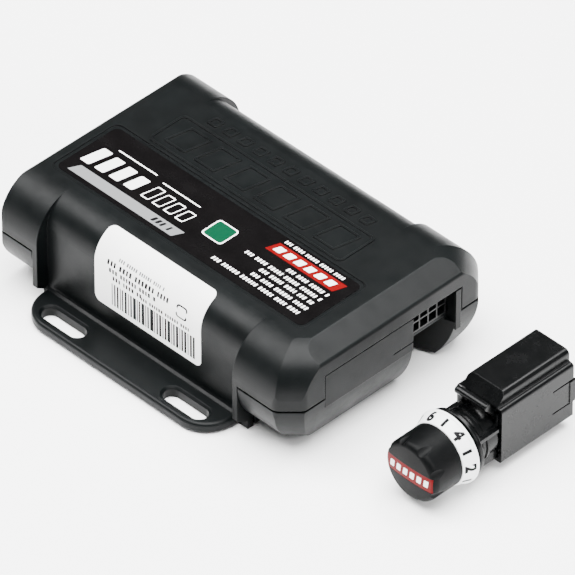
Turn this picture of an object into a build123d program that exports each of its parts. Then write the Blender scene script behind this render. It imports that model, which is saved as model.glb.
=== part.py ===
from build123d import *
import os
from math import atan2, cos, degrees, radians, sin, sqrt, tan

# Trailer brake controller: a flat control box with slotted feet, and its separate dash-mounted
# control head. Millimetres, +Z up. The origin is the centre of the four foot slots on the
# underside of the feet; +X points to the connector end.

# ---- control box: driving dimensions ------------------------------------------------------
WALL = 2.2                # moulded wall thickness
TAIL_X = -54.7            # plain end
NOSE_X = 64.1             # connector end
BULGE_HALF = 41.2         # half width of the two end bulges
WAIST_HALF = 36.9         # half width of the waist between them
TOP_Z = 35.3
FLAT_HALF = 27.1          # half width of the flat top before the shoulders start
SPLIT_Z = 18.4            # height of the parting line
SPLIT_GAP = 0.7
WAIST_X = (-39.4, 41.0)   # waist between the bulges
RIB = 1.9                 # thickness of the end ribs of the waist
FACET_X, FACET_Z = 56.5, 31.7   # sloping facet above the connector end
NOSE_CHAMFER = 6.0        # plan chamfer of the two nose corners
TRAY_Z = 1.0              # underside of the base tray
SIDE_R = 17.0             # bilge radius of the tray's long sides
NOSE_R = 28.0             # bilge radius of the tray's nose
CORNER_R = 19.0           # bilge radius of the tray's nose corners
RIB_LOW = 2.8             # lower edge of the end ribs

# ---- feet ---------------------------------------------------------------------------------
FOOT_X = 39.2
FOOT_Y = 50.0
FOOT_T = 3.6
FOOT_R = 10.5
SLOT_X, SLOT_Y = 25.1, 44.3
SLOT_W, SLOT_L = 5.5, 16.6

# ---- connector end ------------------------------------------------------------------------
CUTOUT = (-26.8, 28.2)    # opening of the cover at the nose, along Y
CUTOUT_TOP = 27.1
BAY = (8.6, 26.0)         # connector bay, along Y
BAY_FACE_X = 60.5         # front face of the connector header
BAY_TOP = 26.5
HEADER_Z = (16.9, 27.0)
CAVITY = 1.5              # half width of a terminal cavity
NOTCH_X = 48.0            # depth of the finger notch under the header
NOTCH_TOP = 15.8
NOTCH_SLANT = 20.0        # degrees, far wall of the notch
PIN_PITCH = 3.55

# ---- inside -------------------------------------------------------------------------------
BOARD_Z, BOARD_T = 8.0, 1.6
BOARD = (-50.0, 45.3, 31.0)
BOSS_X, BOSS_Y = 34.0, 27.0
BOARD_POSTS = ((-46.0, 18.0), (-46.0, -18.0), (41.5, 2.0), (41.5, -20.0))

# ---- control head -------------------------------------------------------------------------
HEAD_X = 98.0             # knob axis
HEAD_Z = 11.9
HEAD_Y = 1.4              # place of the head along Y; the dimensions below are from there
DIAL_BACK = -12.3         # rear plane of the dial
DIAL_R = 11.8
DIAL_FRONT = -17.2
KNOB_R = 10.0
KNOB_FRONT = -29.0
BADGE = (8.9, 2.5)        # half length and half height of the inlay
SPINDLE_R = 2.98
PUSH_TRAVEL = 1.0
CASE_Y = (-0.5, 28.8)
CASE_HALF = 8.9
CASE_Z = (3.4, 27.0)
CASE_LEDGE = 23.1
LATCH_AT = (0.8, 18.9)    # latch pivot (y, z)
LATCH_BAR = (-3.4, 24.3)  # latch thumb bar (y, z)


# ---- helpers ------------------------------------------------------------------------------
def outline(points, rounds=None):
    """Closed face through the points; rounds maps a point's index to its corner radius."""
    face = make_face(Polyline(*points, close=True))
    for index, radius in (rounds or {}).items():
        x, y = points[index]
        corner = face.vertices().sort_by_distance((x, y, 0))[0]
        face = fillet(corner, radius)
    return face


def prism_x(points, rounds, x0, x1):
    """Section given in (y, z), drawn out along X."""
    return extrude(Plane.YZ.offset(x0) * outline(points, rounds), x1 - x0)


def prism_y(points, rounds, y0, y1):
    """Section given in (x, z), drawn out along Y."""
    face = Plane.XZ.offset(-y0) * outline(points, rounds)
    return extrude(face, y1 - y0, dir=(0, 1, 0))


def prism_z(points, rounds, z0, z1):
    """Section given in (x, y), drawn out along Z."""
    return extrude(Plane.XY.offset(z0) * outline(points, rounds), z1 - z0)


def block(x0, x1, y0, y1, z0, z1):
    corner = (Align.MIN, Align.MIN, Align.MIN)
    return Pos(x0, y0, z0) * Box(x1 - x0, y1 - y0, z1 - z0, align=corner)


def post(x, y, radius, z0, z1):
    return Pos(x, y, z0) * Cylinder(radius, z1 - z0, align=(Align.CENTER, Align.CENTER, Align.MIN))


def disc_y(radius, y0, y1, x=HEAD_X, z=HEAD_Z):
    """Round bar along Y."""
    return Pos(x, (y0 + y1) / 2, z) * Rot(90, 0, 0) * Cylinder(radius, y1 - y0)


def turned_y(profile):
    """Profile of (radius, y) turned about the knob axis."""
    face = make_face(Polyline(*profile, close=True))
    return Pos(HEAD_X, 0, HEAD_Z) * revolve(face, Axis.Y)


def corners4(x, y):
    return [(sx * x, sy * y) for sx in (-1, 1) for sy in (-1, 1)]


# ---- control box: shared shapes -----------------------------------------------------------
def cross_section(half, low, top, flat=FLAT_HALF):
    """Box section with rounded shoulders that end where the flat top begins."""
    points = [(-half, low), (-half, top), (half, top), (half, low)]
    radius = half - flat - 0.05
    return points, {1: radius, 2: radius}


def plan(inset, z0, z1, reach=0.0):
    """Plan of the box with its chamfered nose corners; reach carries the chamfers further out."""
    half, nose, tail = BULGE_HALF - inset, NOSE_X - inset + reach, TAIL_X + inset
    cut = NOSE_CHAMFER - 0.4 * inset + reach
    points = [(tail, -half), (nose - cut, -half), (nose, -half + cut),
              (nose, half - cut), (nose - cut, half), (tail, half)]
    rounds = {1: 3.0, 2: 3.0, 3: 3.0, 4: 3.0, 0: 1.2, 5: 1.2}
    return prism_z(points, rounds, z0, z1)


def side_view(inset, low, edge_r):
    """Side view of the cover with its sloping nose facet."""
    nose, tail, top = NOSE_X - inset, TAIL_X + inset, TOP_Z - inset
    points = [(tail, low), (tail, top), (FACET_X - 0.5 * inset, top), (nose, FACET_Z - inset), (nose, low)]
    rounds = {1: edge_r, 2: edge_r, 3: edge_r}
    return prism_y(points, rounds, -BULGE_HALF - 5, BULGE_HALF + 5)


def corner_section(side, inset, radius, level, turn):
    """45 degree wall at a nose corner that rounds over above (turn 1) or below (turn -1) its level."""
    reach = (NOSE_X + BULGE_HALF - NOSE_CHAMFER) / sqrt(2) + 0.06 - inset
    radius -= inset
    tip, slope = radians(80), radians(40)
    middle = (reach - radius + radius * cos(slope), level + turn * radius * sin(slope))
    end = (reach - radius + radius * cos(tip), level + turn * radius * sin(tip))
    beyond = (end[0] - 20 * sin(tip), end[1] + turn * 20 * cos(tip))
    edges = [
        Polyline((-120, level - turn * 40), (reach, level - turn * 40), (reach, level)),
        ThreePointArc((reach, level), middle, end),
        Polyline(end, beyond, (-120, beyond[1]), (-120, level - turn * 40)),
    ]
    plane = Plane(origin=(0, 0, 0), x_dir=(1, side, 0), z_dir=(side, -1, 0))
    return extrude(plane * make_face(edges), 90, both=True)


def hull(inset):
    """Tray shape: bilge rounds on the long sides and the nose, square at the tail."""
    half, low = BULGE_HALF - inset, TRAY_Z + inset
    top = SPLIT_Z - SPLIT_GAP / 2
    points = [(-half, top), (-half, low), (half, low), (half, top)]
    side_r = SIDE_R - inset
    long_way = prism_x(points, {1: side_r, 2: side_r}, TAIL_X - 5, NOSE_X + 5)
    nose_r = NOSE_R - inset
    centre_x = NOSE_X - NOSE_R
    toe_x = centre_x + (nose_r**2 - (SPLIT_Z - low) ** 2) ** 0.5
    mid = atan2(low - SPLIT_Z, toe_x - centre_x) / 2
    belly = (centre_x + nose_r * cos(mid), SPLIT_Z + nose_r * sin(mid))
    edges = [
        Polyline((centre_x + nose_r, SPLIT_Z), (centre_x + nose_r, SPLIT_Z + 1), (-80, SPLIT_Z + 1),
                 (-80, low), (toe_x, low)),
        ThreePointArc((toe_x, low), belly, (centre_x + nose_r, SPLIT_Z)),
    ]
    face = Plane.XZ.offset(60) * make_face(edges)
    nose_way = extrude(face, 120, dir=(0, 1, 0))
    shape = long_way & nose_way & plan(inset - 0.02, -5, 40, reach=2.0)
    for side in (-1, 1):
        shape = shape & corner_section(side, inset, CORNER_R, SPLIT_Z, -1)
    return shape


# ---- control box: cover -------------------------------------------------------------------
def foot(side):
    near, far = WAIST_HALF - WALL + 0.05, FOOT_Y
    points = [(-FOOT_X, side * near), (-FOOT_X, side * far), (FOOT_X, side * far), (FOOT_X, side * near)]
    plate = prism_z(points, {1: FOOT_R, 2: FOOT_R}, 0, FOOT_T)
    rims = [e for e in plate.edges() if abs(e.center().Z - FOOT_T / 2) > 1.0
            and abs(abs(e.center().Y) - near) > 0.5 and abs(e.center().Y) > near + 2]
    plate = fillet(rims, 1.1)
    for sign in (-1, 1):
        slot = extrude(Pos(sign * SLOT_X, side * SLOT_Y, -1) * SlotOverall(SLOT_L, SLOT_W), FOOT_T + 2)
        lip = extrude(Pos(sign * SLOT_X, side * SLOT_Y, FOOT_T - 0.7)
                      * SlotOverall(SLOT_L, SLOT_W), 0.75, taper=-45)
        plate = plate - slot - lip
    return plate


def weld_strip(side):
    """Small root radius where the waist wall meets the foot."""
    size = 1.3
    wall = side * (WAIST_HALF - 0.2)
    out = side * size
    points = [(wall, FOOT_T - 0.2), (wall + out, FOOT_T - 0.2), (wall + out, FOOT_T + 0.05),
              (wall + 0.35 * out, FOOT_T + 0.4 * size), (wall + 0.2 * side, FOOT_T + size),
              (wall, FOOT_T + size)]
    return prism_x(points, {}, WAIST_X[0] - 0.5, WAIST_X[1] + 0.5)


def slanted_bar(x, y0, y1, width, lean, height):
    shift = (y1 - y0) * lean
    points = [(x, y0), (x + width, y0), (x + width + shift, y1), (x + shift, y1)]
    return prism_z(points, {i: 0.6 for i in range(4)}, TOP_Z - 0.3, TOP_Z + height)


def emblem():
    """Plain raised pattern on the far half of the lid: a frame, slanted bars and dashes."""
    height = 0.45
    frame = prism_z([(-39.8, 3.9), (39.0, 3.9), (39.0, 19.0), (-39.8, 19.0)], {i: 2.0 for i in range(4)},
                    TOP_Z - 0.3, TOP_Z + height)
    frame -= prism_z([(-39.1, 4.6), (38.3, 4.6), (38.3, 18.3), (-39.1, 18.3)], {i: 1.4 for i in range(4)},
                     TOP_Z - 1, TOP_Z + 1)
    marks = [frame]
    line, lean = 0.65, 0.22
    rows = ((6, -36.0, 12.2, 6.6, 16.4, 8.6), (11, -33.0, 6.2, 21.0, 24.8, 3.8))
    for count, first, pitch, y0, y1, width in rows:
        for i in range(count):
            x = first + i * pitch
            inner = slanted_bar(x + line * (1 + lean), y0 + line, y1 - line, width - 2 * line, lean, 1.0)
            marks.append(slanted_bar(x, y0, y1, width, lean, height) - inner)
    return marks


def top_cover():
    split = SPLIT_Z + SPLIT_GAP / 2
    points, rounds = cross_section(BULGE_HALF, split, TOP_Z)
    rib_points = [(-BULGE_HALF, RIB_LOW + 2.7), *points[1:3], (BULGE_HALF, RIB_LOW + 2.7),
                  (WAIST_HALF, RIB_LOW), (-WAIST_HALF, RIB_LOW)]
    waist_points, waist_rounds = cross_section(WAIST_HALF, 0, TOP_Z)
    x0, x1 = WAIST_X
    shell = prism_x(waist_points, waist_rounds, x0 - RIB, x1 + RIB)
    shell += prism_x(points, rounds, TAIL_X, x0) + prism_x(points, rounds, x1, NOSE_X)
    shell += prism_x(rib_points, rounds, x0 - RIB, x0) + prism_x(rib_points, rounds, x1, x1 + RIB)
    shell = shell & side_view(0, -1, 1.2) & plan(0, -2, 40)
    shoulder = BULGE_HALF - FLAT_HALF
    for side in (-1, 1):
        shell = shell & corner_section(side, 0, shoulder, TOP_Z - shoulder, 1)

    half, top = BULGE_HALF - WALL, TOP_Z - WALL
    points, rounds = cross_section(half, -2, top, flat=25.0)
    wide = prism_x(points, rounds, TAIL_X - 1, x0 - RIB) + prism_x(points, rounds, x1 + RIB, NOSE_X + 1)
    wide = wide & side_view(WALL, -3, 0.6) & plan(WALL, -3, 40)
    for side in (-1, 1):
        wide = wide & corner_section(side, WALL, shoulder, TOP_Z - shoulder, 1)
    points, rounds = cross_section(WAIST_HALF - WALL, -2, top)
    narrow = prism_x(points, rounds, x0 - RIB - 0.5, x1 + RIB + 0.5)
    shell = shell - wide - narrow
    shell -= block(NOSE_X - 4, NOSE_X + 2, CUTOUT[0] - 0.3, CUTOUT[1] + 0.3, -1, CUTOUT_TOP)

    for side in (-1, 1):
        shell += foot(side) + weld_strip(side)
    for x, y in corners4(BOSS_X, BOSS_Y):
        shell += post(x, y, 3.6, 12.0, top + 0.4)
        shell -= post(x, y, 1.5, 11.0, 23.0)
    recess = prism_z([(-51.1, -24.3), (51.8, -24.3), (51.8, 2.8), (-51.1, 2.8)], {i: 2.5 for i in range(4)},
                     TOP_Z - 0.5, TOP_Z + 1)
    shell -= recess
    for mark in emblem():
        shell += mark
    return shell


# ---- control box: base tray ---------------------------------------------------------------
def notch(inset, z0, z1, back):
    """Finger notch under the header; its far wall slants outwards to the nose."""
    front = NOSE_X + 4
    near = BAY[0] - inset
    far_front = BAY[1] + inset + (front - NOSE_X) * tan(radians(NOTCH_SLANT))
    far_back = far_front - (front - back) * tan(radians(NOTCH_SLANT))
    return prism_z([(back, near), (front, near), (front, far_front), (back, far_back)], {}, z0, z1)


def base_tray():
    top = SPLIT_Z - SPLIT_GAP / 2
    x0, x1 = WAIST_X[0] - RIB - 0.3, WAIST_X[1] + RIB + 0.3
    side = WAIST_HALF - WALL - 0.3
    tray = hull(0)
    lip = plan(WALL + 0.35, top - 3, SPLIT_Z + 2.4)
    tray += lip
    floor_edge = block(x0 - 0.2, x1 + 0.2, -side, side, TRAY_Z, top)
    tray += floor_edge
    for sign in (-1, 1):
        low, high = sorted((sign * side, sign * (BULGE_HALF + 5)))
        tray -= block(x0, x1, low, high, -5, 60)
    hollow = hull(WALL) + plan(WALL + 1.5, top - 3, 60)
    narrow = block(x0 - WALL, x1 + WALL, -side + WALL, side - WALL, TRAY_Z + WALL, 60)
    ends = block(-80, x0 - WALL, -60, 60, -5, 60) + block(x1 + WALL, 90, -60, 60, -5, 60)
    tray = tray - (hollow & ends) - narrow

    tray -= block(NOSE_X - WALL - 3, NOSE_X + 5, CUTOUT[0], CUTOUT[1], SPLIT_Z - 0.4, 60)
    tray += block(NOSE_X - WALL, NOSE_X, CUTOUT[0], BAY[0], 15, CUTOUT_TOP - 0.35)
    tray += block(BAY_FACE_X, NOSE_X, BAY[1], CUTOUT[1] - 0.1, 12, BAY_TOP)

    walls = notch(1.8, TRAY_Z + 0.5, NOTCH_TOP + 1.0, NOTCH_X - 1.8) & hull(0.2)
    tray += walls
    tray -= notch(0, -5, NOTCH_TOP, NOTCH_X)
    tray -= block(BAY_FACE_X, NOSE_X + 5, BAY[0], BAY[1], NOTCH_TOP - 1, 60)
    tray -= block(NOSE_X - 0.3, NOSE_X + 1, BAY[0] - 8.0, BAY[0] + 1, SPLIT_Z - 0.4, SPLIT_Z)

    for x, y in corners4(BOSS_X, BOSS_Y):
        tray += post(x, y, 3.8, TRAY_Z + 0.5, 11.7)
        tray -= post(x, y, 1.75, -1, 13) + post(x, y, 3.3, -1, 4.0)
    for x, y in BOARD_POSTS:
        tray += post(x, y, 2.6, TRAY_Z + 0.5, BOARD_Z)
        tray -= post(x, y, 1.1, 3.4, BOARD_Z + 1)
    return tray


# ---- control box: electronics -------------------------------------------------------------
def main_board():
    x0, x1, half = BOARD
    board = prism_z([(x0, -half), (x1, -half), (x1, half), (x0, half)], {i: 1.5 for i in range(4)},
                    BOARD_Z, BOARD_Z + BOARD_T)
    for x, y in corners4(BOSS_X, BOSS_Y):
        board -= post(x, y, 4.4, 0, 20)
    for x, y in BOARD_POSTS:
        board -= post(x, y, 1.4, 0, 20)
    for x, y in header_tails():
        board -= post(x, y, 0.5, 0, 20)
    return board


def header_columns():
    middle = 18.27
    return [middle + (i - 1.5) * PIN_PITCH for i in range(4)]


def header_rows():
    return (18.95, 18.95 + PIN_PITCH)


def header_tails():
    return [(x, y) for x in (40.0, 43.2) for y in header_columns()]


def connector_header():
    body = block(46.6, BAY_FACE_X, BAY[0] + 0.25, BAY[1] - 0.25, *HEADER_Z)
    for y in header_columns():
        for z in header_rows():
            body -= block(51.5, BAY_FACE_X + 1, y - CAVITY, y + CAVITY, z - CAVITY, z + CAVITY)
            body -= block(46.0, 52.0, y - 0.36, y + 0.36, z - 0.36, z + 0.36)
    return body


def header_pins():
    pins = []
    for y in header_columns():
        for z, x in zip(header_rows(), (43.2, 40.0)):
            run = block(x - 0.32, 58.6, y - 0.32, y + 0.32, z - 0.32, z + 0.32)
            pins.append(run + block(x - 0.32, x + 0.32, y - 0.32, y + 0.32, BOARD_Z - 1.4, z + 0.32))
    return pins


def cover_screws():
    screws = []
    for x, y in corners4(BOSS_X, BOSS_Y):
        head = post(x, y, 2.9, 1.7, 3.95)
        drive = Pos(x, y, 1.6) * (Box(3.4, 0.8, 1.6) + Box(0.8, 3.4, 1.6))
        screws.append(head + post(x, y, 1.45, 3.9, 21.0) - drive)
    return screws


def board_screws():
    top = BOARD_Z + BOARD_T
    screws = []
    for x, y in BOARD_POSTS:
        head = fillet(post(x, y, 2.3, top + 0.02, top + 1.6).edges().sort_by(Axis.Z)[-1], 0.6)
        slot = block(x - 1.5, x + 1.5, y - 0.3, y + 0.3, top + 0.9, top + 2)
        screws.append(head + post(x, y, 1.05, 4.2, top + 0.3) - slot)
    return screws


def heat_bar():
    bar = block(-24, 24, 24.6, 28.6, BOARD_Z + BOARD_T + 0.1, 26.0)
    bar -= block(-22, 22, 26.4, 29, 14.0, 24.5)
    return bar


def power_transistors():
    base = BOARD_Z + BOARD_T
    parts = []
    for i in range(4):
        x = -18.0 + i * 12.0
        body = block(x - 5, x + 5, 19.7, 24.2, base + 3.2, base + 12.4)
        tab = block(x - 5, x + 5, 22.9, 24.2, base + 12.3, base + 15.6)
        tab -= Pos(x, 23.5, base + 13.9) * Rot(90, 0, 0) * Cylinder(1.6, 6)
        part = body + tab
        for leg in (-2.54, 0, 2.54):
            part += block(x + leg - 0.4, x + leg + 0.4, 21.3, 21.8, base + 0.02, base + 3.4)
        parts.append(part)
    return parts


def thermal_pads():
    base = BOARD_Z + BOARD_T
    return [block(-23.2 + i * 12, -12.8 + i * 12, 24.24, 24.56, base + 3.5, base + 15.6) for i in range(4)]


def capacitors():
    base = BOARD_Z + BOARD_T
    cans = []
    for x, y, radius, height in ((-40, 4, 5.0, 18), (-40, -8, 5.0, 18), (-29, 12, 4.0, 13), (-18, 12, 4.0, 13)):
        can = post(x, y, radius, base + 0.3, base + height)
        rims = [e for e in can.edges() if e.geom_type == GeomType.CIRCLE]
        can = fillet(rims, 0.7)
        groove = post(x, y, radius + 1, base + 2.6, base + 3.3) - post(x, y, radius - 0.4, base, base + 5)
        cans.append(can - groove)
    return cans


def supply_choke():
    return Pos(-21, -8, BOARD_Z + BOARD_T + 3.7) * Torus(6.6, 3.4)


def chip(x, y, size, height, pins, pitch):
    """Flat chip package with gull-wing leads along two sides."""
    base = BOARD_Z + BOARD_T
    body = block(x - size / 2, x + size / 2, y - size / 2, y + size / 2, base + 0.15, base + height)
    top = body.faces().sort_by(Axis.Z)[-1]
    body = chamfer(top.edges(), 0.25)
    for i in range(pins):
        px = x + (i - (pins - 1) / 2) * pitch
        body += block(px - 0.15, px + 0.15, y - size / 2 - 0.9, y + size / 2 + 0.9, base + 0.02, base + 0.3)
    return body


def chip_parts():
    base = BOARD_Z + BOARD_T
    parts = []
    for i in range(7):
        for j, y in enumerate((-28.0, -24.0)):
            x = -27.0 + i * 8.5 + j * 2.0
            parts.append(block(x - 1.6, x + 1.6, y - 0.8, y + 0.8, base + 0.02, base + 0.8))
    return parts


def shunt_resistor():
    base = BOARD_Z + BOARD_T
    strip = block(-5, 9, 8.0, 14.0, base + 2.6, base + 3.4)
    for x in (-5, 8.2):
        strip += block(x, x + 0.8, 8.0, 14.0, base + 0.02, base + 3.0)
    return strip


def top_label():
    return prism_z([(-49.9, -23.1), (50.6, -23.1), (50.6, 1.6), (-49.9, 1.6)], {i: 2.0 for i in range(4)},
                   TOP_Z - 0.49, TOP_Z - 0.3)


def side_label():
    """Paper label that wraps the near shoulder of the waist."""
    x0, x1 = -19.5, 24.0
    half, top = WAIST_HALF, TOP_Z
    points, rounds = cross_section(half, 11.5, top)
    outer_points, outer_rounds = cross_section(half + 0.15, 11.5, top + 0.15)
    skin = prism_x(outer_points, outer_rounds, x0, x1) - prism_x(points, rounds, x0 - 1, x1 + 1)
    edge, corner = -29.4, {0: 2.2, 1: 2.2}
    skin = skin & prism_y([(x0, 11.5), (x1, 11.5), (x1, top + 2), (x0, top + 2)], corner, -half - 2, 0)
    return skin & prism_z([(x0, edge), (x1, edge), (x1, -half - 2), (x0, -half - 2)], corner, 0, top + 2)


# ---- control head -------------------------------------------------------------------------
def case_section(inset):
    half, step = CASE_HALF - inset, 7.0 - inset
    low, ledge, top = CASE_Z[0] + inset, CASE_LEDGE - inset, CASE_Z[1] - inset
    points = [(-half, low), (-half, ledge), (-step, ledge), (-step, top),
              (step, top), (step, ledge), (half, ledge), (half, low)]
    points = [(HEAD_X + x, z) for x, z in points]
    big, small = 1.6 - 0.6 * inset, 1.2 - 0.6 * inset
    return points, {0: 0.7, 1: small, 2: 0.5, 3: big, 4: big, 5: 0.5, 6: small, 7: 0.7}


def head_case():
    points, rounds = case_section(0)
    y0, y1 = CASE_Y
    case = prism_y(points, rounds, y0, y1)
    facet = [(y0, 0), (y0, CASE_LEDGE), (y0 + 3.3, CASE_Z[1]), (y1, CASE_Z[1]), (y1, 0)]
    case = case & prism_x(facet, {}, HEAD_X - 20, HEAD_X + 20)
    points, rounds = case_section(1.2)
    room = prism_y(points, rounds, y0 - 3, y1 - 1.4)
    inner = [(y0 - 3, 0), (y0 - 3, CASE_LEDGE - 4), (y0, CASE_LEDGE - 1.2), (y0 + 3.7, CASE_Z[1] - 1.0),
             (y1, CASE_Z[1] - 1.0), (y1, 0)]
    case -= room & prism_x(inner, {}, HEAD_X - 20, HEAD_X + 20)
    case -= block(HEAD_X - 5.3, HEAD_X + 5.3, y1 - 3, y1 + 1, 6.7, 14.3)
    for side in (-1, 1):
        low, high = sorted((HEAD_X + side * 7.9, HEAD_X + side * 9.2))
        case += block(low, high, y1 - 1.6, y1 + 0.8, 9.4, 17.1)
        for z in (8.9, 17.1):
            case -= block(low - 0.6, high + 0.5, y1 - 8.5, y1 + 2, z, z + 0.5)
    return case


def head_body():
    body = disc_y(11.0, DIAL_BACK + PUSH_TRAVEL + 0.4, -9.4)
    rim = body.edges().filter_by(GeomType.CIRCLE)
    body = fillet(rim, 0.4)
    body += disc_y(8.2, -9.5, -1.2)
    body += block(HEAD_X - 7.3, HEAD_X + 7.3, -9.5, 12.0, 4.9, 17.1)
    for side in (-1, 1):
        low, high = sorted((HEAD_X + side * 6.35, HEAD_X + side * 7.3))
        body += block(low, high, LATCH_AT[0] - 1.6, LATCH_AT[0] + 1.6, 16.8, LATCH_AT[1] + 1.6)
        low, high = sorted((HEAD_X + side * 7.0, HEAD_X + side * 8.5))
        body += block(low, high, -9.5, -1.2, 15.4, 16.6)
    for y in (-7.6, -5.6):
        body += disc_y(8.6, y, y + 0.8)
    pin_hole = Pos(HEAD_X, *LATCH_AT) * Rot(0, 90, 0) * Cylinder(0.95, 30)
    body -= pin_hole
    body -= disc_y(3.5, -12, 0)
    body -= block(HEAD_X - 5.0, HEAD_X + 5.0, -7.0, 13, HEAD_Z - 5.0, HEAD_Z + 5.0)
    return body


def knob_blank():
    """Domed knob with a hollow skirt and a hub."""
    front, back = KNOB_FRONT, DIAL_FRONT - 0.2
    edges = [
        ThreePointArc((0, front), (4.2, front + 0.11), (8.4, front + 0.45)),
        ThreePointArc((8.4, front + 0.45), (9.5, front + 1.15), (KNOB_R, front + 2.5)),
        Polyline((KNOB_R, front + 2.5), (KNOB_R, back), (8.95, back), (8.95, DIAL_BACK - 0.3),
                 (7.6, DIAL_BACK - 0.3), (7.6, front + 4.2), (4.4, front + 4.2),
                 (4.4, DIAL_BACK - 0.6), (0, DIAL_BACK - 0.6), (0, front)),
    ]
    blank = Pos(HEAD_X, 0, HEAD_Z) * revolve(make_face(edges), Axis.Y)
    scoops = 8
    lean = degrees(atan2(2.6, 10.0))
    for i in range(scoops):
        turn = 360.0 / scoops * (i + 0.5)
        tool = Pos(11.75, KNOB_FRONT + 3.8, 0) * Rot(0, 0, -lean) * Rot(90, 0, 0) * Cylinder(2.0, 16)
        blank -= Pos(HEAD_X, 0, HEAD_Z) * Rot(0, turn, 0) * tool
    return blank


def badge_box(play, depth):
    length, half = BADGE[0] + play, BADGE[1] + play
    return block(HEAD_X - length, HEAD_X + length, KNOB_FRONT - 2, KNOB_FRONT + depth, HEAD_Z - half, HEAD_Z + half)


def knob():
    blank = knob_blank() - badge_box(0.05, 2.5)
    return blank - disc_y(SPINDLE_R + 0.02, KNOB_FRONT + 3.4, 0)


def knob_badge():
    return knob_blank() & badge_box(0, 2.45)


def dial_ring():
    return turned_y([(8.97, DIAL_FRONT), (10.1, DIAL_FRONT), (10.35, DIAL_FRONT + 0.35), (11.5, DIAL_BACK - 1.0),
                     (DIAL_R, DIAL_BACK - 0.7), (DIAL_R, DIAL_BACK), (8.97, DIAL_BACK)])


def spindle():
    shaft = disc_y(SPINDLE_R, KNOB_FRONT + 3.5, 6.7)
    shaft += disc_y(4.2, -5.2, -4.3)
    shaft -= disc_y(5.0, 1.4, 2.1) - disc_y(2.4, 1.0, 2.5)
    shaft -= block(HEAD_X + 2.2, HEAD_X + 5, 3.0, 7.0, HEAD_Z - 4, HEAD_Z + 4)
    return shaft


def spindle_clip():
    clip = disc_y(4.0, 1.45, 2.05) - disc_y(2.42, 1.0, 3.0)
    return clip - block(HEAD_X - 1.6, HEAD_X + 1.6, 1.0, 3.0, HEAD_Z - 5, HEAD_Z)


def push_carriage():
    half = 4.7
    body = block(HEAD_X - half, HEAD_X + half, -4.0, 1.0, HEAD_Z - half, HEAD_Z + half)
    return fillet(body.edges().filter_by(Axis.Y), 0.6) - disc_y(SPINDLE_R + 0.06, -6, 3)


def return_spring():
    wire, mean, start, length, turns = 0.25, 4.42, 1.35, 3.3, 3
    path = Helix(length / turns, length, mean)
    section = Plane(path @ 0, z_dir=path % 0) * Circle(wire)
    coil = sweep(section, path)
    return Pos(HEAD_X, start, HEAD_Z) * Rot(-90, 0, 0) * coil


def rotary_sensor():
    body = block(HEAD_X - 4.9, HEAD_X + 4.9, 5.0, 8.6, HEAD_Z - 4.9, HEAD_Z + 4.9)
    return fillet(body.edges().filter_by(Axis.Y), 0.8) - disc_y(3.3, 4, 10)


def push_switch():
    body = block(HEAD_X - 3, HEAD_X + 3, 9.1, 11.98, HEAD_Z - 3, HEAD_Z + 3)
    return fillet(body.edges().filter_by(Axis.Y), 0.4) + disc_y(1.6, 8.05, 9.2)


def head_board():
    board = block(HEAD_X - 7.1, HEAD_X + 7.1, 12.02, 13.4, 5.0, 21.2)
    return fillet(board.edges().filter_by(Axis.Y), 0.8)


def rear_jack():
    body = block(HEAD_X - 6.4, HEAD_X + 6.4, 13.42, 27.3, 5.2, 16.4)
    room = block(HEAD_X - 4.9, HEAD_X + 4.9, 17.0, 30, 7.1, 12.6)
    key = block(HEAD_X - 2.2, HEAD_X + 2.2, 17.0, 30, 12.0, 14.0)
    return fillet(body.edges().filter_by(Axis.Y), 0.5) - room - key


def jack_contacts():
    wires = []
    for i in range(6):
        x = HEAD_X + (i - 2.5) * 1.27
        wires.append(block(x - 0.2, x + 0.2, 17.05, 25.0, 7.15, 7.5))
    return wires


def status_led():
    lens = disc_y(1.5, 9.6, 10.8, z=19.4)
    lens = fillet(lens.edges().sort_by(Axis.Y)[0], 0.9)
    return lens + disc_y(1.8, 10.8, 12.0, z=19.4)


def release_latch():
    bar = Pos(HEAD_X, *LATCH_BAR) * Rot(0, 90, 0) * Cylinder(1.25, 12.4)
    bar = fillet(bar.edges().filter_by(GeomType.CIRCLE), 0.4)
    (y0, z0), (y1, z1) = LATCH_AT, LATCH_BAR
    length = ((y1 - y0) ** 2 + (z1 - z0) ** 2) ** 0.5
    angle = degrees(atan2(z1 - z0, y1 - y0))
    latch = bar
    leg = Pos(length / 2, 0, 0) * Box(length, 1.7, 1.4) + Cylinder(1.45, 1.4)
    for side in (-1, 1):
        across = Plane(origin=(HEAD_X + side * 5.3, y0, z0), x_dir=(0, y1 - y0, z1 - z0), z_dir=(1, 0, 0))
        latch += across * leg
    latch += Pos(HEAD_X, (y0 + 3 * y1) / 4, (z0 + 3 * z1) / 4) * Rot(angle, 0, 0) * Box(11.0, 1.6, 1.1)
    return latch - Pos(HEAD_X, *LATCH_AT) * Rot(0, 90, 0) * Cylinder(0.9, 30)


def latch_pin():
    return Pos(HEAD_X, *LATCH_AT) * Rot(0, 90, 0) * Cylinder(0.9, 14.2)


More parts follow.
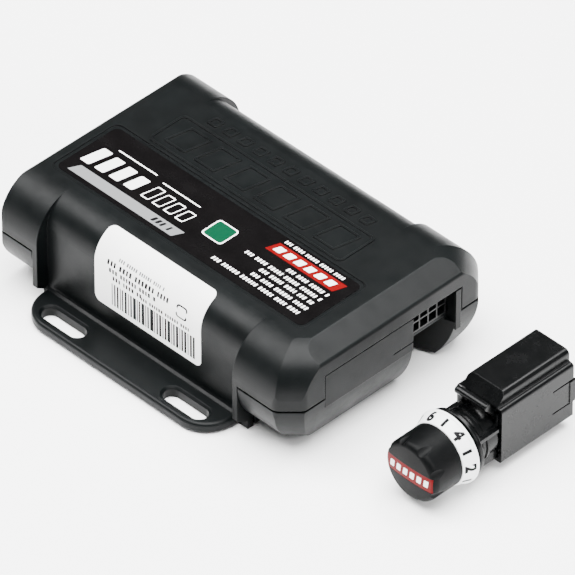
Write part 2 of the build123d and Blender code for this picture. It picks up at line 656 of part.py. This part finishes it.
# ---- write one file per sub-part ----------------------------------------------------------
BOX = {
    "top_cover": top_cover, "base_tray": base_tray, "main_board": main_board,
    "connector_header": connector_header, "header_pins": header_pins, "cover_screws": cover_screws,
    "board_screws": board_screws, "heat_bar": heat_bar, "power_transistors": power_transistors,
    "thermal_pads": thermal_pads, "capacitors": capacitors, "supply_choke": supply_choke,
    "microcontroller": lambda: chip(14, -12, 9.0, 1.5, 11, 0.7),
    "motion_sensor": lambda: chip(28, -12, 4.5, 1.2, 4, 0.9),
    "driver_chip": lambda: chip(20, 10, 5.5, 1.7, 4, 1.27),
    "chip_parts": chip_parts, "shunt_resistor": shunt_resistor,
    "top_label": top_label, "side_label": side_label,
}
HEAD = {
    "head_case": head_case, "head_body": head_body, "knob": knob, "knob_badge": knob_badge,
    "dial_ring": dial_ring, "spindle": spindle, "spindle_clip": spindle_clip,
    "push_carriage": push_carriage, "return_spring": return_spring, "rotary_sensor": rotary_sensor,
    "push_switch": push_switch, "head_board": head_board, "rear_jack": rear_jack,
    "jack_contacts": jack_contacts, "status_led": status_led, "release_latch": release_latch,
    "latch_pin": latch_pin,
}

os.makedirs("parts", exist_ok=True)
for place, nodes in ((Pos(0, 0, 0), BOX), (Pos(0, HEAD_Y, 0), HEAD)):
    for name, make in nodes.items():
        made = make()
        shapes = made if isinstance(made, list) else [made]
        solids = [place * solid for shape in shapes for solid in shape.solids()]
        shape = solids[0] if len(solids) == 1 else Compound(children=solids)
        export_step(shape, f"parts/{name}.step")
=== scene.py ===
from math import cos, radians, sin, sqrt

import bmesh
import bpy
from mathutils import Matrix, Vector
from mathutils.noise import noise as smooth_noise


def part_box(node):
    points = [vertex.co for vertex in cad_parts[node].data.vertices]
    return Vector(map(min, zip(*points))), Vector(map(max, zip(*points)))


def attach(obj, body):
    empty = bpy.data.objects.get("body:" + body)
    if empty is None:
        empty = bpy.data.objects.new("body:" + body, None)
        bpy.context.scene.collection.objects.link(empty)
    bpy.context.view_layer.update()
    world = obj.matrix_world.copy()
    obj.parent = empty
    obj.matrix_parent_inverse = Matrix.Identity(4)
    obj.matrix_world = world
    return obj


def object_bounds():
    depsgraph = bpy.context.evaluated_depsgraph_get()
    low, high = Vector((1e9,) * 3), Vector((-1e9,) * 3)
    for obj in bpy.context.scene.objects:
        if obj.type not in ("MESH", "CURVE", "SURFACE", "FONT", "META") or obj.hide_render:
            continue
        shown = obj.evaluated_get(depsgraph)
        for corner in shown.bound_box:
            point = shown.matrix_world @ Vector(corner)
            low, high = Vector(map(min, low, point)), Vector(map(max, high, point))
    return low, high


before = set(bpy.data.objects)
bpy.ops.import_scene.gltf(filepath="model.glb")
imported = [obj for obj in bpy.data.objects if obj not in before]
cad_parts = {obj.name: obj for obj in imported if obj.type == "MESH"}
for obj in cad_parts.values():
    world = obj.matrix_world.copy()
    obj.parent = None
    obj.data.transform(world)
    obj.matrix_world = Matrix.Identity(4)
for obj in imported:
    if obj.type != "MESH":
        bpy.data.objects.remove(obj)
CAD_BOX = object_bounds()

MM = 0.001
PRINT = 0.03 * MM              # thickness of printed ink and thin film

# ---- view ---------------------------------------------------------------------------------
AZIMUTH, ELEVATION = radians(45.2), radians(40.5)
AIM = Vector((19.7, 2.1, 15.6)) * MM
DISTANCE = 2790 * MM
SENSOR = 36.0
LENS = 607.0


# ---- material graphs ----------------------------------------------------------------------
class Graph:
    """Short hand for one material's node tree."""

    def __init__(self, name):
        self.material = bpy.data.materials.new(name)
        self.material.use_nodes = True
        self.nodes = self.material.node_tree.nodes
        self.links = self.material.node_tree.links
        self.shader = self.nodes["Principled BSDF"]
        self.place = self.nodes.new("ShaderNodeTexCoord").outputs["Object"]

    def link(self, start, end):
        self.links.new(start, end)

    def noise(self, scale, detail=2.0, rough=0.5, stretch=None):
        node = self.nodes.new("ShaderNodeTexNoise")
        node.inputs["Scale"].default_value = scale
        node.inputs["Detail"].default_value = detail
        node.inputs["Roughness"].default_value = rough
        place = self.place
        if stretch:
            mapping = self.nodes.new("ShaderNodeMapping")
            mapping.inputs["Scale"].default_value = stretch
            self.link(self.place, mapping.inputs["Vector"])
            place = mapping.outputs["Vector"]
        self.link(place, node.inputs["Vector"])
        return node.outputs["Fac"]

    def span(self, value, low, high, from_low=0.3, from_high=0.7):
        node = self.nodes.new("ShaderNodeMapRange")
        node.inputs["From Min"].default_value = from_low
        node.inputs["From Max"].default_value = from_high
        node.inputs["To Min"].default_value = low
        node.inputs["To Max"].default_value = high
        self.link(value, node.inputs["Value"])
        return node.outputs["Result"]

    def blend(self, factor, first, second):
        node = self.nodes.new("ShaderNodeMix")
        node.data_type = "RGBA"
        self.link(factor, node.inputs["Factor"])
        for socket, value in ((node.inputs["A"], first), (node.inputs["B"], second)):
            if isinstance(value, tuple):
                socket.default_value = (*value, 1.0)
            else:
                self.link(value, socket)
        return node.outputs["Result"]

    def bump(self, height, strength, depth, under=None):
        node = self.nodes.new("ShaderNodeBump")
        node.inputs["Strength"].default_value = strength
        node.inputs["Distance"].default_value = depth
        self.link(height, node.inputs["Height"])
        if under is not None:
            self.link(under, node.inputs["Normal"])
        return node.outputs["Normal"]

    def soft_edge(self, radius):
        node = self.nodes.new("ShaderNodeBevel")
        node.samples = 4
        node.inputs["Radius"].default_value = radius
        return node.outputs["Normal"]

    def set(self, values):
        for name, value in values.items():
            self.shader.inputs[name].default_value = value

    def finish(self, colour, roughness, normal=None):
        self.link(colour, self.shader.inputs["Base Color"])
        self.link(roughness, self.shader.inputs["Roughness"])
        if normal is not None:
            self.link(normal, self.shader.inputs["Normal"])
        return self.material


def moulded(name, dark, light, rough, grain, depth, edge=0.25, specular=0.5):
    """Moulded plastic: spark-eroded grain, slow tone drift, rubbed patches and soft edges."""
    g = Graph(name)
    drift = g.span(g.noise(60.0, 3.0), 0.0, 1.0)
    speck = g.noise(grain * 0.4, 4.0, 0.65)
    colour = g.blend(drift, dark, light)
    colour = g.blend(g.span(speck, 0.0, 0.35, 0.55, 0.75), colour, tuple(min(1.0, c * 1.7) for c in light))
    rubbed = g.noise(170.0, 5.0, 0.7)
    roughness = g.span(rubbed, rough - 0.06, rough + 0.08)
    fine = g.bump(g.noise(grain, 3.0, 0.6), 0.55, depth * MM, g.soft_edge(edge * MM))
    wavy = g.bump(g.noise(90.0, 1.0), 0.10, 0.05 * MM, fine)
    g.set({"Specular IOR Level": specular})
    return g.finish(colour, roughness, wavy)


def gloss(name, dark, light, rough, coat=0.0, specular=0.5):
    """Smooth printed or polished plastic with faint orange peel and handling smears."""
    g = Graph(name)
    tone = g.span(g.noise(140.0, 3.0), 0.0, 1.0)
    smear = g.noise(90.0, 3.0, 0.6, (1.0, 2.0, 1.0))
    normal = g.bump(g.noise(500.0, 1.0), 0.05, 0.02 * MM, g.soft_edge(0.08 * MM))
    g.set({"Coat Weight": coat, "Coat Roughness": 0.12, "Specular IOR Level": specular})
    return g.finish(g.blend(tone, dark, light), g.span(smear, rough * 0.85, rough * 1.2), normal)


def ink(name, colour, rough):
    """Screen-printed ink: slightly uneven cover over fine paper or film texture."""
    g = Graph(name)
    thin = tuple(c * 0.88 for c in colour)
    cover = g.span(g.noise(2600.0, 4.0, 0.7), 0.0, 1.0)
    g.set({"Specular IOR Level": 0.06})
    normal = g.bump(g.noise(3800.0, 2.0), 0.2, 0.01 * MM)
    roughness = g.span(g.noise(700.0, 3.0), rough - 0.05, rough + 0.08)
    return g.finish(g.blend(cover, colour, thin), roughness, normal)


def paper(name, dark, light):
    """Label stock: short fibres under a matt varnish."""
    g = Graph(name)
    fibre = g.noise(2200.0, 5.0, 0.7, (1.0, 1.0, 0.3))
    soft = g.noise(110.0, 3.0)
    normal = g.bump(fibre, 0.25, 0.02 * MM)
    colour = g.blend(g.span(soft, 0.0, 1.0), dark, light)
    return g.finish(colour, g.span(fibre, 0.42, 0.58), normal)


def metal(name, dark, light, rough, stretch=(1.0, 1.0, 1.0)):
    """Metal with drawn or rolled streaks and dull spots."""
    g = Graph(name)
    streak = g.noise(1500.0, 4.0, 0.6, stretch)
    normal = g.bump(streak, 0.2, 0.02 * MM, g.soft_edge(0.08 * MM))
    g.set({"Metallic": 1.0})
    colour = g.blend(g.span(g.noise(300.0, 4.0), 0.0, 1.0), dark, light)
    return g.finish(colour, g.span(streak, rough - 0.08, rough + 0.12), normal)


def board_mask(name):
    """Green solder mask with faint copper tracks beneath."""
    g = Graph(name)
    wave = g.nodes.new("ShaderNodeTexWave")
    wave.inputs["Scale"].default_value = 260.0
    wave.inputs["Distortion"].default_value = 1.5
    g.link(g.place, wave.inputs["Vector"])
    tracks = g.span(wave.outputs["Fac"], 0.0, 1.0, 0.45, 0.55)
    colour = g.blend(tracks, (0.012, 0.10, 0.045), (0.02, 0.16, 0.07))
    normal = g.bump(wave.outputs["Fac"], 0.25, 0.03 * MM)
    return g.finish(colour, g.span(g.noise(500.0, 3.0), 0.25, 0.4), normal)


def tones(low, high, tint=(1.0, 1.0, 1.0)):
    """Dark and light tone of one tinted grey."""
    return tuple(low * t for t in tint), tuple(high * t for t in tint)


TEAL, COOL = (0.72, 1.0, 1.05), (0.85, 1.0, 1.08)
HOUSING = moulded("housing_grain", *tones(0.0014, 0.0024, TEAL), 0.38, 3600.0, 0.030, 0.35, specular=0.10)
HEAD = moulded("head_satin", *tones(0.0008, 0.0013, COOL), 0.24, 2400.0, 0.002, 0.22, specular=0.14)
KNOB = moulded("knob_soft", *tones(0.0010, 0.0016, COOL), 0.42, 4200.0, 0.025, 0.3, specular=0.055)
CONNECTOR = moulded("connector_nylon", *tones(0.0012, 0.0022, COOL), 0.34, 2600.0, 0.005, 0.15, specular=0.25)
PACKAGE = moulded("package_epoxy", *tones(0.020, 0.032), 0.6, 3000.0, 0.02, 0.1)
CARRIAGE = moulded("carriage_acetal", (0.62, 0.61, 0.57), (0.72, 0.71, 0.67), 0.4, 2000.0, 0.01, 0.1)
DIAL = moulded("dial_white", (0.80, 0.82, 0.82), (0.88, 0.89, 0.89), 0.38, 2600.0, 0.008, 0.15)
PAD = moulded("pad_silicone", (0.42, 0.44, 0.47), (0.52, 0.54, 0.57), 0.7, 1800.0, 0.02, 0.05)
SLEEVE = gloss("capacitor_sleeve", (0.012, 0.014, 0.035), (0.02, 0.024, 0.05), 0.3, 0.3)
FILM = gloss("label_film", (0.0010, 0.0008, 0.0009), (0.0016, 0.0013, 0.0014), 0.24, 0.0, 0.12)
LENS_CLEAR = gloss("led_lens", (0.70, 0.73, 0.78), (0.80, 0.82, 0.86), 0.12, 0.5)
PAPER = paper("label_paper", (0.86, 0.86, 0.85), (0.93, 0.93, 0.92))
STEEL = metal("zinc_steel", (0.42, 0.42, 0.43), (0.62, 0.62, 0.61), 0.34)
SPRING = metal("spring_wire", (0.40, 0.40, 0.42), (0.55, 0.55, 0.56), 0.25)
TIN = metal("tinned_pin", (0.55, 0.54, 0.52), (0.72, 0.71, 0.68), 0.3, (0.2, 1.0, 1.0))
GOLD = metal("gold_contact", (0.72, 0.50, 0.18), (0.85, 0.63, 0.26), 0.22, (1.0, 0.2, 1.0))
ALUMINIUM = metal("aluminium_bar", (0.60, 0.61, 0.62), (0.74, 0.75, 0.76), 0.36, (0.1, 1.0, 1.0))
COPPER = metal("enamelled_copper", (0.42, 0.16, 0.06), (0.62, 0.27, 0.11), 0.28, (1.0, 1.0, 6.0))
BOARD = board_mask("solder_mask")
RED = ink("ink_red", (0.105, 0.0003, 0.0010), 0.36)
WHITE = ink("ink_white", (0.88, 0.88, 0.87), 0.42)
SILVER = ink("ink_silver", (0.145, 0.148, 0.152), 0.34)
GREEN = ink("ink_green", (0.0010, 0.036, 0.016), 0.38)
BLACK = ink("ink_black", (0.003, 0.003, 0.0035), 0.45)
GREY = ink("ink_grey", (0.10, 0.10, 0.105), 0.5)

NODE_MATERIALS = {
    "top_cover": HOUSING, "base_tray": HOUSING, "main_board": BOARD, "head_board": BOARD,
    "connector_header": CONNECTOR, "rear_jack": CONNECTOR, "header_pins": TIN, "shunt_resistor": TIN,
    "cover_screws": STEEL, "board_screws": STEEL, "spindle": STEEL, "spindle_clip": STEEL, "latch_pin": STEEL,
    "heat_bar": ALUMINIUM, "power_transistors": PACKAGE, "microcontroller": PACKAGE, "motion_sensor": PACKAGE,
    "driver_chip": PACKAGE, "chip_parts": PACKAGE, "rotary_sensor": PACKAGE, "push_switch": PACKAGE,
    "thermal_pads": PAD, "capacitors": SLEEVE, "supply_choke": COPPER, "top_label": FILM, "side_label": PAPER,
    "head_case": HEAD, "head_body": HEAD, "release_latch": HEAD, "knob": KNOB, "knob_badge": RED,
    "dial_ring": DIAL, "push_carriage": CARRIAGE, "return_spring": SPRING, "jack_contacts": GOLD,
    "status_led": LENS_CLEAR,
}


def dress_nodes():
    """Give each CAD node its own procedural material."""
    for name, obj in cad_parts.items():
        obj.data.materials.clear()
        obj.data.materials.append(NODE_MATERIALS[name])


# ---- piece helpers ------------------------------------------------------------------------
U_AXIS, V_AXIS = Vector((1, 0, 0)), Vector((0, 1, 0))
BEND_STEP = 0.8                # spacing of the cuts that let a slab follow a curved face


def piece(name, mesh, material, body):
    """Object with one material that rides a body."""
    obj = bpy.data.objects.new(name, mesh)
    bpy.context.scene.collection.objects.link(obj)
    obj.data.materials.append(material)
    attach(obj, body)
    return obj


def mesh_from(bm, name):
    bmesh.ops.recalc_face_normals(bm, faces=bm.faces)
    mesh = bpy.data.meshes.new(name)
    bm.to_mesh(mesh)
    bm.free()
    return mesh


def cut_flat(flat, axis, at):
    """Cut a flat mesh across an axis, so that it can bend there."""
    parts = flat.verts[:] + flat.edges[:] + flat.faces[:]
    bmesh.ops.bisect_plane(flat, geom=parts, plane_co=axis * at, plane_no=axis, dist=1e-6)


def add_flat(bm, flat, place):
    """Give a flat mesh in (u, v) the thickness of print and put it on the object."""
    top = {v: bm.verts.new(place(v.co.x, v.co.y, PRINT)) for v in flat.verts}
    low = {v: bm.verts.new(place(v.co.x, v.co.y, 0.0)) for v in flat.verts}
    for face in flat.faces:
        bm.faces.new([top[v] for v in face.verts])
        bm.faces.new([low[v] for v in reversed(face.verts)])
    for edge in flat.edges:
        if len(edge.link_faces) == 1:
            a, b = edge.verts
            bm.faces.new((top[a], top[b], low[b], low[a]))


def add_slab(bm, outline, place, step=BEND_STEP):
    """Thin slab over a flat outline in millimetres; place(u, v, lift) puts its points on the object."""
    flat = bmesh.new()
    flat.faces.new([flat.verts.new((u, v, 0.0)) for u, v in outline])
    if step:
        for axis, values in ((U_AXIS, [u for u, v in outline]), (V_AXIS, [v for u, v in outline])):
            low, high = min(values), max(values)
            count = int((high - low) / step)
            for i in range(1, count + 1):
                cut_flat(flat, axis, low + (high - low) * i / (count + 1))
    add_flat(bm, flat, place)
    flat.free()


def round_outline(u0, u1, v0, v1, radius, lean=0.0, turns=5):
    """Rounded rectangle, or a leaning one, as a list of points."""
    points = []
    for cu, cv, start in ((u1 - radius, v0 + radius, -90), (u1 - radius, v1 - radius, 0),
                          (u0 + radius, v1 - radius, 90), (u0 + radius, v0 + radius, 180)):
        for i in range(turns + 1):
            angle = radians(start + 90 * i / turns)
            u, v = cu + radius * cos(angle), cv + radius * sin(angle)
            points.append((u + lean * (v - v0), v))
    return points


def ring_outline(bm, outline, width, place):
    """Line of the given width along the inside of an outline."""
    count = len(outline)
    cu = sum(u for u, v in outline) / count
    cv = sum(v for u, v in outline) / count
    shrink_u = 1 - width / max(abs(u - cu) for u, v in outline)
    shrink_v = 1 - width / max(abs(v - cv) for u, v in outline)
    flat = bmesh.new()
    outer = [flat.verts.new((u, v, 0.0)) for u, v in outline]
    inner = [flat.verts.new((cu + (u - cu) * shrink_u, cv + (v - cv) * shrink_v, 0.0)) for u, v in outline]
    for i in range(count):
        j = (i + 1) % count
        flat.faces.new((outer[i], outer[j], inner[j], inner[i]))
    add_flat(bm, flat, place)
    flat.free()


def small_print(bm, place, u0, u1, v0, height, seed, lean=0.0, step=None):
    """A row of plain blocks grouped like words, too simple to read."""
    block_gap, word_gap, corner = 0.34 * height, 0.9 * height, 0.12 * height
    shortest_word, extra_blocks = 3, 5
    u, count, left = u0, 0, shortest_word
    while u < u1 - 0.5 * height:
        chance = 0.5 + 0.5 * smooth_noise(Vector((seed * 7.3 + count * 1.7, seed, 0.5)))
        end = min(u + height * (0.30 + 0.30 * chance), u1)
        add_slab(bm, round_outline(u, end, v0, v0 + height, corner, lean, 2), place, step)
        left -= 1
        u = end + (block_gap if left else word_gap)
        if not left:
            left = shortest_word + int(extra_blocks * chance)
        count += 1


# ---- lid label, laid out in millimetres from its near left corner --------------------------
BAR_COUNT, BAR_PITCH, BAR_WIDTH = 4, 5.7, 3.7
FRAME_COUNT, FRAME_PITCH, FRAME_WIDTH = 4, 4.7, 3.2
BAR_LEAN, BAND_LEAN, PLATE_LEAN, PRINT_LEAN = 0.2, 0.5, 0.35, 0.15
LINE_WIDTH = 0.45
BAR_FOOT = 7.0                 # height of the bars' feet above the label's near edge
PLATE_BLOCKS, PLATE_PITCH, PLATE_BLOCK = 6, 4.1, 2.7
SIGN_SIZE, SIGN_RIM = 7.2, 0.5
# start and end before the right edge, height above the near edge, height of the print
LID_ROWS = ((29.5, 6.0, 22.5, 1.25), (20.5, 3.8, 14.1, 1.4), (34.5, 3.8, 11.3, 1.4), (26.0, 3.8, 8.6, 1.4),
            (26.5, 3.8, 5.7, 1.4), (39.5, 3.8, 2.8, 1.4))


def lid_bars(white, place, left, base):
    """Bold slanted bars, then outlined ones, each group under a plain line."""
    for i in range(BAR_COUNT):
        u = left + 2.6 + i * BAR_PITCH
        low, high = base + 0.25 * i, base + 8.4 - 0.35 * i
        add_slab(white, round_outline(u, u + BAR_WIDTH, low, high, 0.45, BAR_LEAN, 3), place)
    for i in range(FRAME_COUNT):
        u = left + 26.6 + i * FRAME_PITCH
        box = round_outline(u, u + FRAME_WIDTH, base + 0.9, base + 7.4 - 0.4 * i, 0.5, BAR_LEAN, 3)
        ring_outline(white, box, 0.42, place)
    for start, end, rise in ((8.0, 24.0, 10.4), (27.5, 43.0, 9.2)):
        line = round_outline(left + start, left + end, base + rise, base + rise + LINE_WIDTH, 0.2, 0.0, 2)
        add_slab(white, line, place)


def lid_sign(green, white, place, left, low):
    """Small green square with a white edge."""
    add_slab(green, round_outline(left, left + SIGN_SIZE, low, low + SIGN_SIZE, 1.0, 0.0, 4), place)
    outer = SIGN_SIZE + SIGN_RIM
    rim = round_outline(left - SIGN_RIM, left + outer, low - SIGN_RIM, low + outer, 1.2, 0.0, 4)
    ring_outline(white, rim, LINE_WIDTH, place)


def lid_plate(red, white, place, place_over, left, right, low, high):
    """Red plate with plain white blocks on it."""
    margin = 1.1
    add_slab(red, round_outline(left, right, low, high, 0.3, PLATE_LEAN, 3), place)
    for i in range(PLATE_BLOCKS):
        u = left + 2.0 + i * PLATE_PITCH
        block = round_outline(u, u + PLATE_BLOCK, low + margin, high - margin, 0.3, PLATE_LEAN, 3)
        add_slab(white, block, place_over)


def lid_label():
    """All print on the black film of the lid."""
    low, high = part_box("top_label")
    left, right, near = low.x / MM, high.x / MM, low.y / MM
    white, silver, red, green, bars = (bmesh.new() for _ in range(5))

    def on_lid(u, v, lift):
        return Vector((u * MM, v * MM, high.z + lift))

    def on_print(u, v, lift):
        return on_lid(u, v, lift + PRINT)

    lid_bars(white, on_lid, left, near + BAR_FOOT)
    band = round_outline(left + 3.2, left + 46.0, near + 1.5, near + 5.3, 0.25, BAND_LEAN, 3)
    add_slab(silver, band, on_lid)
    small_print(bars, on_print, left + 36.5, left + 44.0, near + 2.4, 2.0, 3, 0.3)
    lid_sign(green, white, on_lid, left + 51.2, near + 9.1)
    lid_plate(red, white, on_lid, on_print, right - 31.8, right - 4.6, near + 16.9, near + 21.6)
    for seed, (start, end, v, height) in enumerate(LID_ROWS, 20):
        small_print(white, on_lid, right - start, right - end, near + v, height, seed, PRINT_LEAN)

    for name, bm, material, slot in (("lid_print_white", white, WHITE, "label_paper"),
                                     ("lid_print_silver", silver, SILVER, "aluminium_bar"),
                                     ("lid_print_dark", bars, BLACK, "label_film"),
                                     ("lid_print_red", red, RED, "red_inlay"),
                                     ("lid_print_green", green, GREEN, "circuit_board")):
        piece(name, mesh_from(bm, name), material, "box")


# ---- side label ---------------------------------------------------------------------------
SHOULDER = 9.9                 # radius of the paper's outer face
SHOULDER_TOP = 35.45           # height at which that radius would end
STRIPE_LOW, STRIPE_HIGH = 1.8, 9.8
# start and end from the left edge, height up the paper, height of the print
SIDE_ROWS = ((19.0, 39.0, 10.7, 1.2), (7.5, 20.0, 11.2, 1.5), (6.0, 26.0, 13.6, 1.5), (5.0, 31.0, 15.9, 1.7))
SIDE_STEP = 0.5


def side_stripes(black, place, start, end):
    """Upright stripes whose widths follow a smooth noise."""
    u, count = start, 0
    while u < end:
        spread = 0.5 + 0.5 * smooth_noise(Vector((count * 2.31, 4.2, 0.3)))
        width = 0.34 + 1.1 * spread * (count % 3) / 2
        stripe = [(u, STRIPE_LOW), (u + width, STRIPE_LOW), (u + width, STRIPE_HIGH), (u, STRIPE_HIGH)]
        add_slab(black, stripe, place, None)
        u += width + 0.30 + 0.45 * (1 - spread)
        count += 1


def side_label():
    """Print on the paper label that wraps the near shoulder: v runs up the wall and over the shoulder."""
    low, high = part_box("side_label")
    left, right, bottom = low.x / MM, high.x / MM, low.z / MM
    centre_y, centre_z = low.y / MM + SHOULDER, SHOULDER_TOP - SHOULDER
    straight = centre_z - bottom

    def on_side(u, v, lift):
        if v <= straight:
            return Vector((u * MM, low.y - lift, (bottom + v) * MM))
        angle = (v - straight) / SHOULDER
        reach = SHOULDER * MM + lift
        return Vector((u * MM, centre_y * MM - reach * cos(angle), centre_z * MM + reach * sin(angle)))

    black, grey = bmesh.new(), bmesh.new()
    side_stripes(black, on_side, left + 7.0, right - 2.6)
    for seed, (start, end, v, height) in enumerate(SIDE_ROWS, 31):
        small_print(black, on_side, left + start, left + end, v, height, seed, 0.0, SIDE_STEP)
    small_print(grey, on_side, left + 9.0, left + 27.5, 18.6, 1.1, 40, 0.0, SIDE_STEP)
    ring_outline(black, round_outline(right - 10.2, right - 5.8, 13.6, 18.0, 1.0, 0.0, 4), 0.5, on_side)
    for name, bm, material, slot in (("side_print_black", black, BLACK, "label_film"),
                                     ("side_print_grey", grey, GREY, "aluminium_bar")):
        piece(name, mesh_from(bm, name), material, "box")


# ---- dial numbers -------------------------------------------------------------------------
SCALE_STEP = 29.0              # degrees on the dial for one unit
SCALE_ZERO = -58.0             # angle of the zero
SCALE_LAST = 10
NUMBER_SIZE, NUMBER_WEIGHT = 5.0, 0.05
NUMBER_CUTS, NUMBER_CUT = 7, 0.3   # cuts on either side of the middle, and their spacing
TICK_HALF = 0.5
RIM_DROP_FRONT, RIM_DROP_REAR = 1.45, 0.30     # how far the cone's ends lie inside the rim
INSET_FRONT, INSET_REAR = 0.35, 1.0            # and how far inside the ring's front and rear
CONE_LIFT = 0.005 * MM         # clearance of the ink over the cone


def dial_place():
    """Maps (u along the rim clockwise, v towards the rear) to the dial's cone."""
    low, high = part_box("dial_ring")
    axis_x, axis_z = (low.x + high.x) / 2, (low.z + high.z) / 2
    rim = (high.x - low.x) / 2
    r0, r1 = rim - RIM_DROP_FRONT * MM, rim - RIM_DROP_REAR * MM
    y0, y1 = low.y + INSET_FRONT * MM, high.y - INSET_REAR * MM
    length = sqrt((r1 - r0) ** 2 + (y1 - y0) ** 2)
    out = Vector((y1 - y0, -(r1 - r0))).normalized()
    mid = (r0 + r1) / 2

    def place(angle):
        def on_cone(u, v, lift):
            share = v * MM / length
            radius = r0 + (r1 - r0) * share + out.x * (lift + CONE_LIFT)
            depth = y0 + (y1 - y0) * share + out.y * (lift + CONE_LIFT)
            turn = radians(angle) - u * MM / mid
            return Vector((axis_x + radius * cos(turn), depth, axis_z + radius * sin(turn)))
        return on_cone
    return place, length / MM


def number_mesh(text):
    """Flat bmesh of a generic dial number, centred on the origin, in millimetres."""
    curve = bpy.data.curves.new("number", "FONT")
    curve.body = text
    curve.size = NUMBER_SIZE
    curve.align_x = "CENTER"
    curve.align_y = "CENTER"
    curve.offset = NUMBER_WEIGHT * NUMBER_SIZE
    curve.resolution_u = 6
    holder = bpy.data.objects.new("number", curve)
    bpy.context.scene.collection.objects.link(holder)
    bpy.context.view_layer.update()
    mesh = bpy.data.meshes.new_from_object(holder.evaluated_get(bpy.context.evaluated_depsgraph_get()))
    bm = bmesh.new()
    bm.from_mesh(mesh)
    bmesh.ops.remove_doubles(bm, verts=bm.verts, dist=1e-5)
    bpy.data.objects.remove(holder)
    bpy.data.curves.remove(curve)
    bpy.data.meshes.remove(mesh)
    return bm


def dial_print():
    """Even numbers around the dial, with a tick at each odd one."""
    place, length = dial_place()
    marks = bmesh.new()
    for value in range(SCALE_LAST + 1):
        on_cone = place(SCALE_ZERO + SCALE_STEP * value)
        if value % 2 == 0:
            flat = number_mesh(str(value))
            for i in range(-NUMBER_CUTS, NUMBER_CUTS + 1):
                cut_flat(flat, U_AXIS, NUMBER_CUT * i)
            add_flat(marks, flat, lambda u, v, lift: on_cone(u, v + length / 2, lift))
            flat.free()
        else:
            tick = round_outline(-TICK_HALF, TICK_HALF, 0.3, length - 0.4, 0.15, 0.0, 2)
            add_slab(marks, tick, on_cone, None)
    piece("dial_numbers", mesh_from(marks, "dial_numbers"), BLACK, "knob")


# ---- knob inlay ---------------------------------------------------------------------------
INLAY_BLOCKS, INLAY_START, INLAY_PITCH = 6, -7.6, 2.65
INLAY_WIDTH, INLAY_HALF = 1.6, 1.2


def knob_inlay():
    """Plain white blocks across the red inlay, lying on its domed face."""
    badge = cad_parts["knob_badge"]
    low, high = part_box("knob_badge")
    depsgraph = bpy.context.evaluated_depsgraph_get()
    middle_x, middle_z = (low.x + high.x) / 2, (low.z + high.z) / 2

    def on_face(u, v, lift):
        x, z = middle_x + u * MM, middle_z + v * MM
        start = Vector((x, low.y - 5 * MM, z))
        hit, point, _, _ = badge.evaluated_get(depsgraph).ray_cast(start, Vector((0, 1, 0)))
        y = point.y if hit else high.y
        return Vector((x, y - lift - 0.01 * MM, z))

    blocks = bmesh.new()
    for i in range(INLAY_BLOCKS):
        u = INLAY_START + i * INLAY_PITCH
        block = round_outline(u, u + INLAY_WIDTH, -INLAY_HALF, INLAY_HALF, 0.25, 0.15, 3)
        add_slab(blocks, block, on_face, 0.5)
    piece("knob_blocks", mesh_from(blocks, "knob_blocks"), WHITE, "knob")


# ---- stage --------------------------------------------------------------------------------
FLOOR_REACH = 3000 * MM
FLOOR_DROP = 0.2 * MM          # gap between the feet and the floor, so that they don't share a face
WORLD_STRENGTH = 0.30


def stage():
    """Plain pale floor, far wider than the object."""
    bm = bmesh.new()
    floor_z = CAD_BOX[0].z - FLOOR_DROP
    corners = ((-1, -1), (1, -1), (1, 1), (-1, 1))
    bm.faces.new([bm.verts.new((i * FLOOR_REACH, j * FLOOR_REACH, floor_z)) for i, j in corners])
    g = Graph("studio_floor")
    colour = g.blend(g.span(g.noise(3.0, 2.0), 0.0, 1.0), (0.93, 0.93, 0.93), (0.95, 0.95, 0.95))
    g.set({"Specular IOR Level": 0.2})
    floor = bpy.data.objects.new("studio_floor", mesh_from(bm, "studio_floor"))
    bpy.context.scene.collection.objects.link(floor)
    floor.data.materials.append(g.finish(colour, g.span(g.noise(20.0), 0.6, 0.7)))


def look_from(obj, azimuth, elevation, distance):
    """Put an object at a distance from the aim and turn it towards it; angles in radians."""
    direction = Vector((sin(azimuth) * cos(elevation), -cos(azimuth) * cos(elevation), sin(elevation)))
    obj.location = AIM + direction * distance
    obj.rotation_euler = direction.to_track_quat("Z", "Y").to_euler()


def lamp(name, azimuth, elevation, distance, width, height, power):
    """Soft box that looks at the object from the given direction, in degrees and metres."""
    light = bpy.data.lights.new(name, "AREA")
    light.shape = "RECTANGLE"
    light.size, light.size_y = width, height
    light.energy = power
    obj = bpy.data.objects.new(name, light)
    bpy.context.scene.collection.objects.link(obj)
    look_from(obj, radians(azimuth), radians(elevation), distance)


def lighting():
    """White world, a broad overhead light and three weaker ones for the edges."""
    world = bpy.data.worlds.new("studio")
    world.use_nodes = True
    background = world.node_tree.nodes["Background"]
    background.inputs["Color"].default_value = (1.0, 1.0, 1.0, 1.0)
    background.inputs["Strength"].default_value = WORLD_STRENGTH
    bpy.context.scene.world = world
    lamp("overhead", 45, 86, 1.5, 1.6, 1.6, 160.0)
    lamp("key_left", -62, 48, 1.3, 0.7, 0.5, 20.0)
    lamp("edge_back", 180, 60, 1.4, 0.9, 0.22, 14.0)
    lamp("fill_right", 100, 30, 1.2, 0.5, 0.5, 12.0)


def camera():
    data = bpy.data.cameras.new("camera")
    data.sensor_width = SENSOR
    data.lens = LENS
    data.clip_start, data.clip_end = 0.1, 20.0
    obj = bpy.data.objects.new("camera", data)
    bpy.context.scene.collection.objects.link(obj)
    look_from(obj, AZIMUTH, ELEVATION, DISTANCE)
    bpy.context.scene.camera = obj


dress_nodes()
lid_label()
side_label()
dial_print()
knob_inlay()
stage()
lighting()
camera()

bpy.context.view_layer.update()
